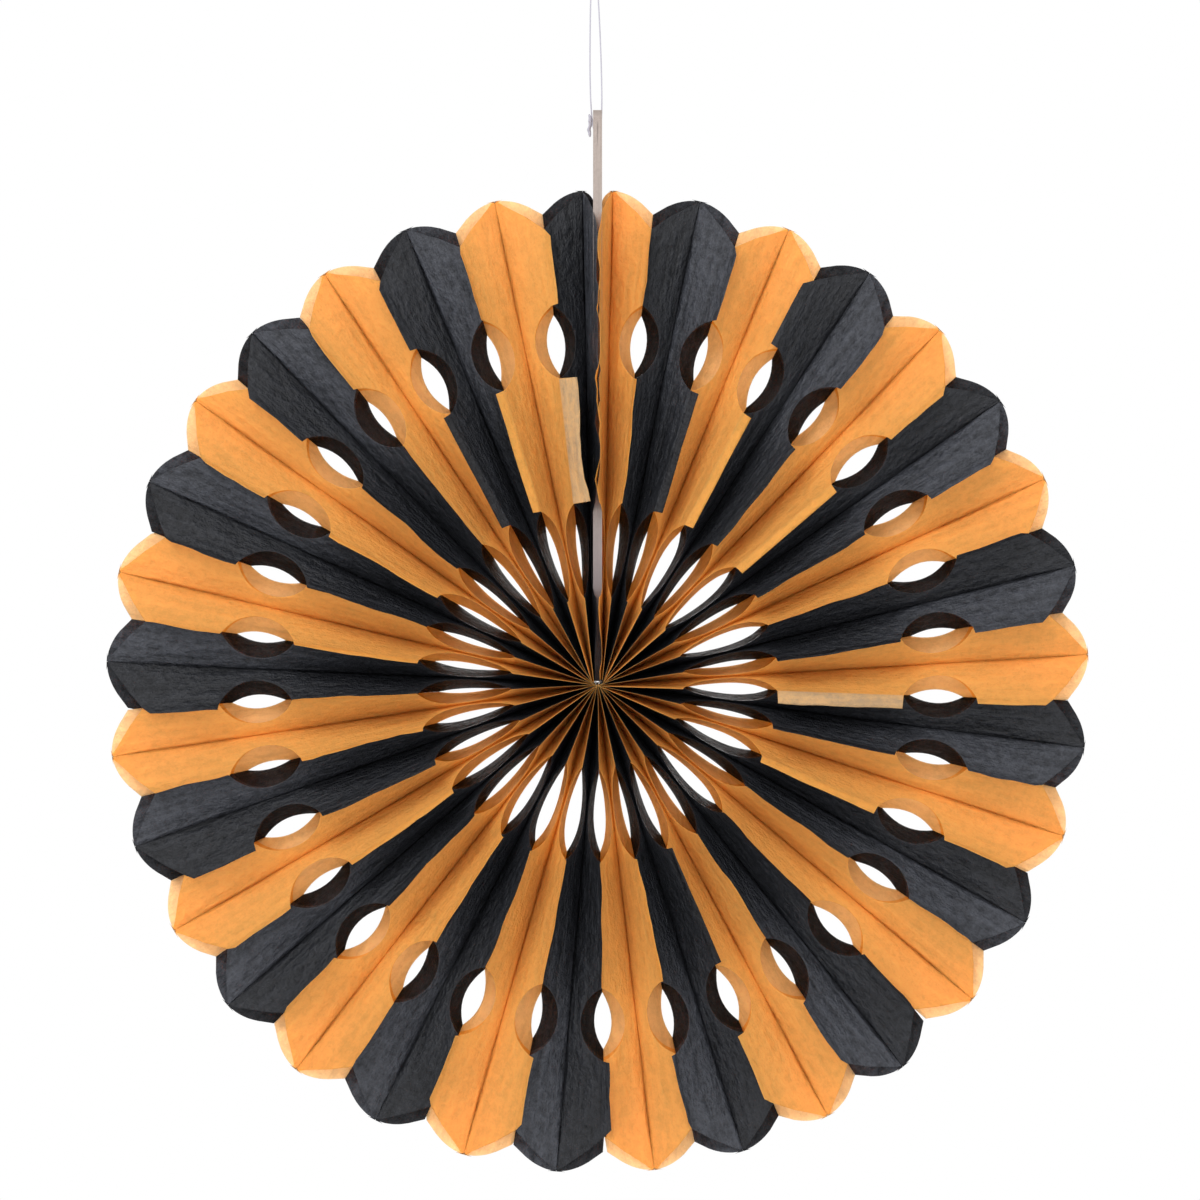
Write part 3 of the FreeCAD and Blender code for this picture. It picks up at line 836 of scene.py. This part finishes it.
def board_material(tone):
    """Greyboard: recycled pulp in thin layers that show at the strip's edges."""
    made, graph, shader = material("greyboard_pulp")
    place = graph.node("ShaderNodeTexCoord").outputs["Object"]
    layers = graph.noise(graph.stretched(place, 3200, 90, 35), 1.0, 3.0)
    pulp = graph.noise(graph.stretched(place, 900, 900, 500), 1.0, 4.0, 0.65)
    blotches = graph.noise(graph.stretched(place, 120, 120, 60), 1.0, 3.0)
    specks = graph.ramp(graph.noise(graph.stretched(place, 1400, 1400, 1400), 1.0, 2.0), 0.42, 0.6)
    pattern = graph.add(graph.times(layers, 0.6), graph.times(pulp, 0.5), graph.times(blotches, 0.5))
    share = graph.ramp(pattern, -0.8, 0.8)
    base = graph.mix_colour(share, [c * 0.78 for c in tone], [min(c * 1.2, 1) for c in tone])
    base = graph.mix_colour(graph.times(specks, 0.5), base, (0.12, 0.1, 0.1))

    # Painted shade in the gap where the two strips meet beside the hole, painted shade on the stretch in the petals'
    # shade, and the torn top
    x, _, z = graph.parts(place)
    meeting = graph.math("ABSOLUTE", graph.math("SUBTRACT", x, fan_centre().x))
    joint_shade = graph.ramp(graph.math("MULTIPLY_ADD", blotches, 0.0005, meeting), 0.0005, 0.0001)
    from_hole = graph.math("ABSOLUTE", graph.math("SUBTRACT", z, HOLE_HEIGHT))
    shade_beside_hole = graph.times(joint_shade, graph.ramp(from_hole, 0.0065, 0.002), 0.6)
    base = graph.mix_colour(shade_beside_hole, base, (0.1, 0.08, 0.075))
    base = graph.mix_colour(graph.times(graph.ramp(z, *SHADED), 0.75), base, (0.17, 0.14, 0.15))
    torn = graph.ramp(graph.math("MULTIPLY_ADD", pulp, 0.0012, z), *TORN_TOP)
    base = graph.mix_colour(graph.times(torn, 0.35), base, (0.2, 0.17, 0.15))
    graph.feed(shader["Base Color"], base)
    graph.feed(shader["Roughness"], graph.between(share, 0.95, 0.8))
    graph.feed(shader["Normal"], graph.bump(graph.add(graph.times(layers, 0.6), pulp), 0.0002, 0.5))
    return made


def thread_material(tone):
    """White thread of fine twisted plies."""
    made, graph, shader = material("white_thread_plies")
    mapping = graph.node("ShaderNodeMapping")
    graph.feed(mapping.inputs["Vector"], graph.node("ShaderNodeTexCoord").outputs["Object"])
    mapping.inputs["Rotation"].default_value = (0, math.radians(35), 0)
    plies = graph.node("ShaderNodeTexWave", wave_type="BANDS", bands_direction="Z", wave_profile="SIN")
    graph.feed(plies.inputs["Vector"], mapping.outputs[0])
    plies.inputs["Scale"].default_value = 1500
    plies.inputs["Distortion"].default_value = 1.5
    share = plies.outputs["Fac"]
    graph.feed(shader["Base Color"], graph.mix_colour(share, [c * 0.8 for c in tone], tone))
    graph.feed(shader["Roughness"], graph.between(share, 0.8, 0.6))
    graph.feed(shader["Normal"], graph.bump(share, 0.0001, 0.6))
    return made


# ---- Operators ----


class FAN_OT_stage(bpy.types.Operator):
    """Sets up the camera at the photograph's angle, a plain pale floor and soft studio light"""

    bl_idname = "paper_fan.stage"
    bl_label = "Stage"

    def execute(self, context):
        scene = context.scene
        camera = bpy.data.cameras.new("front_camera")
        camera.sensor_width = 36
        camera.lens = 166.7
        seat = put_in("front_camera", camera)
        seat.location = (0.0025, -2.3, -0.2616)
        seat.rotation_euler = (math.radians(90), 0, 0)
        scene.camera = seat

        floor = bpy.data.meshes.new("floor")
        floor.from_pydata(
            [(-1.6, -1.2, -0.6), (1.6, -1.2, -0.6), (1.6, 0.3, -0.6), (-1.6, 0.3, -0.6)], [], [(0, 1, 2, 3)]
        )
        ground = put_in("floor", floor)
        pale, _, shader = material("pale_floor")
        shader["Base Color"].default_value = (0.86, 0.86, 0.86, 1)
        shader["Roughness"].default_value = 0.9
        floor.materials.append(pale)

        for name, place, size, power in (
            ("key_light", (-0.9, -1.7, 1.3), 1.2, 26),
            ("fill_light", (1.3, -2.0, 0.1), 1.6, 3),
            ("back_light", (0.2, 1.6, 0.5), 1.6, 26),
        ):
            lamp = bpy.data.lights.new(name, "AREA")
            lamp.shape = "SQUARE"
            lamp.size = size
            lamp.energy = power
            holder = put_in(name, lamp)
            holder.location = place
            holder.rotation_euler = (Vector((0, 0, -0.3)) - Vector(place)).to_track_quat("-Z", "Y").to_euler()

        world = bpy.data.worlds.new("studio")
        scene.world = world
        world.use_nodes = True
        graph = Graph(world.node_tree)
        background = world.node_tree.nodes["Background"].inputs
        background["Color"].default_value = (1, 1, 1, 1)
        rays = graph.node("ShaderNodeLightPath").outputs
        seen = graph.math("MAXIMUM", rays["Is Camera Ray"], rays["Is Transmission Ray"])
        seen = graph.math("MAXIMUM", seen, rays["Is Glossy Ray"])
        graph.feed(background["Strength"], graph.between(seen, 0.88, 1.0))
        scene.view_settings.view_transform = "Standard"
        return {"FINISHED"}


def string_knot(thread):
    """The knot of the string's two ends, drawn tight beside the tab: a lumpy spindle of three wound turns."""
    rings, around, centre, half, thick = 30, 14, Vector((-0.00176, 0, -0.0652)), 0.0048, 0.00072
    points, faces = [], []

    def bow(along):
        return 0.00022 * math.sin(4.0 * along)

    for i in range(rings):
        along = -math.cos(math.pi * (i + 0.5) / rings)
        body = thick * (1 - along**4) ** 0.5
        for j in range(around):
            turn = 2 * math.pi * j / around
            lump = body * (1 + 0.2 * math.cos(turn - 9.5 * along) + 0.12 * math.cos(3 * turn + 5 * along))
            place = (lump * math.cos(turn) + bow(along), lump * math.sin(turn), half * along)
            points.append(centre + Vector(place))
    ends = len(points)
    points += [centre + Vector((bow(way), 0, half * way)) for way in (-1, 1)]
    for i in range(rings - 1):
        for j in range(around):
            k = (j + 1) % around
            faces.append((i * around + j, i * around + k, (i + 1) * around + k, (i + 1) * around + j))
    for j in range(around):
        k, last = (j + 1) % around, (rings - 1) * around
        faces.append((ends, k, j))
        faces.append((ends + 1, last + j, last + k))
    mesh = bpy.data.meshes.new("string_knot")
    mesh.from_pydata(points, [], faces)
    mesh.polygons.foreach_set("use_smooth", [True] * len(faces))
    mesh.materials.append(thread)
    knot = put_in("string_knot", mesh)
    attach(knot, "root")
    return knot


class FAN_OT_string(bpy.types.Operator):
    """Makes the white string loop with the knot beside the tab"""

    bl_idname = "paper_fan.string"
    bl_label = "Hanging string"

    def execute(self, context):
        route = ((1.3, -69.16), (-1.8, -69.16), (-1.5, 0.3), (1.5, 0.3), (4.1, -69.16), (1.7, -69.16))
        curve = bpy.data.curves.new("string_loop", "CURVE")
        curve.dimensions = "3D"
        spline = curve.splines.new("NURBS")
        spline.points.add(len(route) - 1)
        for point, (x, z) in zip(spline.points, route):
            point.co = (x / 1000, 0, z / 1000, 1)
        spline.order_u = 3
        spline.use_endpoint_u = True
        spline.resolution_u = 12
        curve.bevel_depth = 0.0003
        curve.bevel_resolution = 3
        curve.use_fill_caps = True
        thread = thread_material(context.scene.fan_colours.string)
        curve.materials.append(thread)
        loop = put_in("string_loop", curve)
        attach(loop, "root")
        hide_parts("hanging_string")
        knot = string_knot(thread)
        return {"FINISHED"}


class FAN_OT_boards(bpy.types.Operator):
    """Gives the two greyboard strips their layered pulp finish"""

    bl_idname = "paper_fan.boards"
    bl_label = "Board strips"

    def execute(self, context):
        pulp = board_material(context.scene.fan_colours.board)
        for node in ("board_right", "board_left"):
            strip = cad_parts[node]
            strip.data.materials.clear()
            strip.data.materials.append(pulp)
        return {"FINISHED"}


def make_petals(context, tint):
    """Dyes and folds the petals of one tint."""
    sizes, colours = context.scene.fan_sizes, context.scene.fan_colours
    if tint == "orange":
        dyes = (colours.orange, colours.orange_backlit, colours.orange_rim_backlit, colours.glue, colours.orange_shaded)
    else:
        dyes = (colours.black, colours.black_single_shaded, colours.black, colours.glue, colours.black_shaded)
    dye = tissue_material(f"{tint}_tissue_paper", sizes, TISSUE_LOOKS[tint], *dyes)
    tree = shared("Fold petal", petal_tree)
    for number in range(1 if tint == "orange" else 2, PETALS + 1, 2):
        fold_petal(number, sizes, tree, dye)


class FAN_OT_orange_petals(bpy.types.Operator):
    """Folds the orange tissue petals into their places"""

    bl_idname = "paper_fan.orange_petals"
    bl_label = "Orange petals"

    def execute(self, context):
        make_petals(context, "orange")
        return {"FINISHED"}


class FAN_OT_black_petals(bpy.types.Operator):
    """Folds the black tissue petals into their places"""

    bl_idname = "paper_fan.black_petals"
    bl_label = "Black petals"

    def execute(self, context):
        make_petals(context, "black")
        return {"FINISHED"}


class FAN_PT_pieces(bpy.types.Panel):
    """The fan's sizes, colours and pieces"""

    bl_idname = "FAN_PT_pieces"
    bl_label = "Paper fan"
    bl_space_type = "VIEW_3D"
    bl_region_type = "UI"
    bl_category = "Paper fan"

    def draw(self, context):
        for group in (context.scene.fan_sizes, context.scene.fan_colours):
            for name in group.bl_rna.properties.keys():
                if name not in ("rna_type", "name"):
                    self.layout.prop(group, name)
        for operator in PIECES:
            self.layout.operator(operator.bl_idname)


PIECES = (FAN_OT_stage, FAN_OT_string, FAN_OT_boards, FAN_OT_orange_petals, FAN_OT_black_petals)
CLASSES = (FanSizes, FanColours, *PIECES, FAN_PT_pieces)


def register():
    for kind in CLASSES:
        bpy.utils.register_class(kind)
    bpy.types.Scene.fan_sizes = bpy.props.PointerProperty(type=FanSizes)
    bpy.types.Scene.fan_colours = bpy.props.PointerProperty(type=FanColours)


def unregister():
    del bpy.types.Scene.fan_colours
    del bpy.types.Scene.fan_sizes
    for kind in reversed(CLASSES):
        bpy.utils.unregister_class(kind)


def main():
    register()
    bpy.ops.paper_fan.stage()
    bpy.ops.paper_fan.string()
    bpy.ops.paper_fan.boards()
    bpy.ops.paper_fan.orange_petals()
    bpy.ops.paper_fan.black_petals()


if __name__ == "__main__":
    main()
